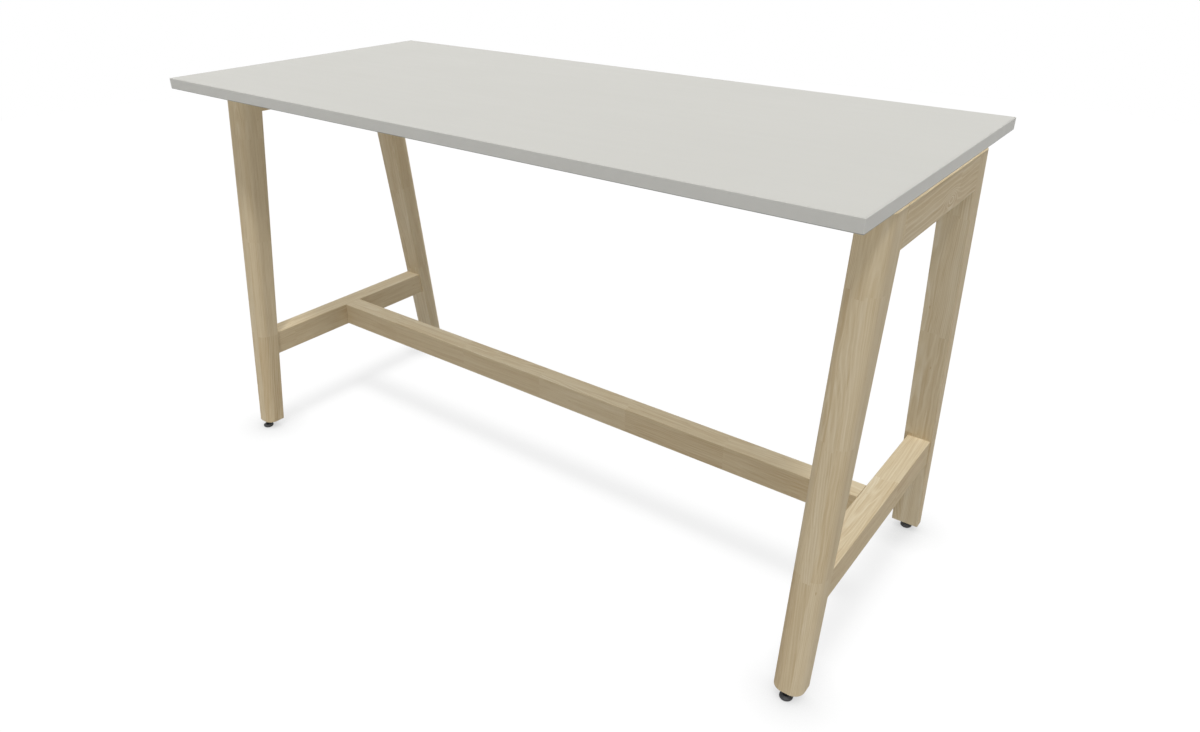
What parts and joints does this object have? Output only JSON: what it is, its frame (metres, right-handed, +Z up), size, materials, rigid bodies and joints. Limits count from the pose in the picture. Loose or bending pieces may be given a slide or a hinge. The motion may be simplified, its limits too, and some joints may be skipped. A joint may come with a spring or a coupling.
{
  "type": "standing meeting table",
  "caption": "Standing-height meeting table: grey panel top on splayed, tapered wooden A-frames tied by a low stretcher, on screw-adjustable levelling feet.",
  "frame": {"origin": "on the floor, under the middle of the top", "axes": "+Z up, +X along the length of the top, -Y towards the front of the picture"},
  "size_m": [1.8, 0.8, 1.025],
  "materials": {
    "grey_face": "melamine-faced panel, light grey, matt with a fine pearl texture",
    "grey_band": "ABS edge band in the face's grey, matt",
    "pale_wood": "pale oak, finger-jointed lamellas, matt lacquer",
    "tenon_wood": "bare beech",
    "zinc_steel": "zinc plated",
    "black_steel": "blackened, satin",
    "black_plastic": "moulded, matt"
  },
  "bodies": {
    "table": {"tabletop_panel": "grey_face", "edge_band_front": "grey_band", "edge_band_back": "grey_band", "edge_band_left": "grey_band", "edge_band_right": "grey_band", "leg_front_left": "pale_wood", "leg_front_right": "pale_wood", "leg_back_left": "pale_wood", "leg_back_right": "pale_wood", "upper_beam_left": "pale_wood", "upper_beam_right": "pale_wood", "lower_rail_left": "pale_wood", "lower_rail_right": "pale_wood", "stretcher": "pale_wood", "upper_tenon_front_left": "tenon_wood", "upper_tenon_back_left": "tenon_wood", "upper_tenon_front_right": "tenon_wood", "upper_tenon_back_right": "tenon_wood", "lower_tenon_front_left": "tenon_wood", "lower_tenon_back_left": "tenon_wood", "lower_tenon_front_right": "tenon_wood", "lower_tenon_back_right": "tenon_wood", "stretcher_bolt_left": "zinc_steel", "stretcher_bolt_right": "zinc_steel", "stretcher_washer_left": "zinc_steel", "stretcher_washer_right": "zinc_steel", "stretcher_nut_left": "zinc_steel", "stretcher_nut_right": "zinc_steel", "stretcher_dowel_front_left": "tenon_wood", "stretcher_dowel_back_left": "tenon_wood", "stretcher_dowel_front_right": "tenon_wood", "stretcher_dowel_back_right": "tenon_wood", "top_bolt_front_left": "zinc_steel", "top_bolt_back_left": "zinc_steel", "top_bolt_front_right": "zinc_steel", "top_bolt_back_right": "zinc_steel", "top_spacer_front_left": "black_plastic", "top_spacer_back_left": "black_plastic", "top_spacer_front_right": "black_plastic", "top_spacer_back_right": "black_plastic", "top_insert_front_left": "zinc_steel", "top_insert_back_left": "zinc_steel", "top_insert_front_right": "zinc_steel", "top_insert_back_right": "zinc_steel", "foot_insert_front_left": "zinc_steel", "foot_insert_back_left": "zinc_steel", "foot_insert_front_right": "zinc_steel", "foot_insert_back_right": "zinc_steel"},
    "pad_front_left": {"foot_pad_front_left": "black_plastic"},
    "pad_front_right": {"foot_pad_front_right": "black_plastic"},
    "pad_back_left": {"foot_pad_back_left": "black_plastic"},
    "pad_back_right": {"foot_pad_back_right": "black_plastic"},
    "stem_front_left": {"foot_stem_front_left": "black_steel"},
    "stem_front_right": {"foot_stem_front_right": "black_steel"},
    "stem_back_left": {"foot_stem_back_left": "black_steel"},
    "stem_back_right": {"foot_stem_back_right": "black_steel"}
  },
  "joints": [
    {"name": "level_front_left", "type": "slide", "parent": "table", "child": "pad_front_left", "axis": [0, 0, 1], "range_m": [-0.015, 0.008]},
    {"name": "level_front_right", "type": "slide", "parent": "table", "child": "pad_front_right", "axis": [0, 0, 1], "range_m": [-0.015, 0.008]},
    {"name": "level_back_left", "type": "slide", "parent": "table", "child": "pad_back_left", "axis": [0, 0, 1], "range_m": [-0.015, 0.008]},
    {"name": "level_back_right", "type": "slide", "parent": "table", "child": "pad_back_right", "axis": [0, 0, 1], "range_m": [-0.015, 0.008]},
    {"name": "screw_front_left", "type": "hinge", "parent": "pad_front_left", "child": "stem_front_left", "pos_m": [-0.8625, -0.349, 0.03], "axis": [0, 0, 1], "range_deg": [-4321, 2305]},
    {"name": "screw_front_right", "type": "hinge", "parent": "pad_front_right", "child": "stem_front_right", "pos_m": [0.8625, -0.349, 0.03], "axis": [0, 0, 1], "range_deg": [-4321, 2305]},
    {"name": "screw_back_left", "type": "hinge", "parent": "pad_back_left", "child": "stem_back_left", "pos_m": [-0.8625, 0.336, 0.03], "axis": [0, 0, 1], "range_deg": [-4321, 2305]},
    {"name": "screw_back_right", "type": "hinge", "parent": "pad_back_right", "child": "stem_back_right", "pos_m": [0.8625, 0.336, 0.03], "axis": [0, 0, 1], "range_deg": [-4321, 2305]}
  ],
  "couplings": [
    {"joint": "screw_front_left", "follows": "level_front_left", "rad_per_m": 5026.5},
    {"joint": "screw_front_right", "follows": "level_front_right", "rad_per_m": 5026.5},
    {"joint": "screw_back_left", "follows": "level_back_left", "rad_per_m": 5026.5},
    {"joint": "screw_back_right", "follows": "level_back_right", "rad_per_m": 5026.5}
  ]
}
